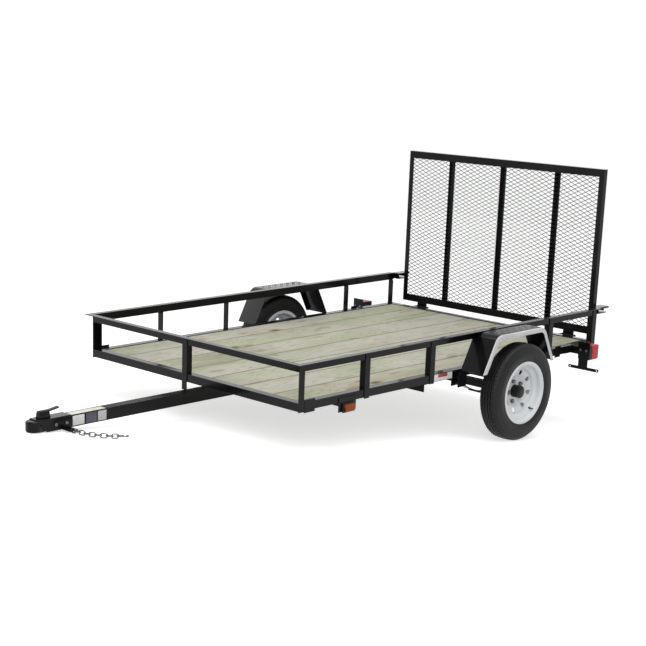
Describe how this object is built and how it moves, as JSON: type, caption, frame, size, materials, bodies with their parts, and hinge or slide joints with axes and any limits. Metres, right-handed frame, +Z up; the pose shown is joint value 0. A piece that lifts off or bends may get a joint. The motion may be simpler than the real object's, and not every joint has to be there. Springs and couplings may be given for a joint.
{
  "type": "utility trailer",
  "caption": "Open single-axle utility trailer with a timber deck in an angle-steel frame, low top rails, flat-topped fenders, ball coupler with safety chains and a hinged mesh ramp gate.",
  "frame": {"origin": "on the floor under the middle of the parked trailer's overall box", "axes": "+X forward to the coupler, +Y to the trailer's left, +Z up"},
  "size_m": [3.539, 1.96, 1.4848],
  "materials": {
    "black_paint": "gloss black enamel",
    "dark_steel": "semi-gloss black",
    "pine": "pressure-treated pine, unsealed",
    "tyre": "matt rubber",
    "white_steel": "gloss white enamel",
    "zinc": "zinc plated",
    "amber": "clear amber lens",
    "red": "clear red lens",
    "black_plastic": "moulded"
  },
  "bodies": {
    "chassis": {"side_rail_left": "black_paint", "side_rail_right": "black_paint", "front_rail": "black_paint", "rear_rail": "black_paint", "cross_members": "black_paint", "deck_board_1": "pine", "deck_board_2": "pine", "deck_board_3": "pine", "deck_board_4": "pine", "deck_board_5": "pine", "deck_board_6": "pine", "deck_board_7": "pine", "top_rail_left": "black_paint", "top_rail_right": "black_paint", "top_rail_front": "black_paint", "posts": "black_paint", "post_front": "black_paint", "tongue": "black_paint", "coupler": "black_paint", "coupler_latch": "black_paint", "chain_bracket": "black_paint", "axle": "dark_steel", "spring_left": "dark_steel", "spring_right": "dark_steel", "hangers": "black_paint", "axle_clamps": "dark_steel", "fender_left": "black_paint", "fender_right": "black_paint", "marker_brackets": "black_paint", "marker_lenses": "amber", "tie_plates": "black_paint", "tail_bracket_right": "black_paint", "tail_bracket_left": "black_paint", "tail_housings": "black_plastic", "tail_lenses": "red", "latches": "black_paint", "hinge_ears": "black_paint", "chain_left": "zinc", "chain_right": "zinc"},
    "wheel_left": {"tyre_left": "tyre", "rim_left": "white_steel", "hub_left": "dark_steel"},
    "wheel_right": {"tyre_right": "tyre", "rim_right": "white_steel", "hub_right": "dark_steel"},
    "gate": {"gate_frame": "black_paint", "gate_uprights": "black_paint", "gate_mesh": "black_paint"}
  },
  "joints": [
    {"name": "wheel_left_spin", "type": "hinge", "parent": "chassis", "child": "wheel_left", "pos_m": [-0.76826, 0.92, 0.265], "axis": [0, 1, 0], "continuous": true},
    {"name": "wheel_right_spin", "type": "hinge", "parent": "chassis", "child": "wheel_right", "pos_m": [-0.76826, -0.92, 0.265], "axis": [0, 1, 0], "continuous": true},
    {"name": "gate_hinge", "type": "hinge", "parent": "chassis", "child": "gate", "pos_m": [-1.72956, 0, 0.49341], "axis": [0, -1, 0], "range_deg": [0, 112]}
  ]
}
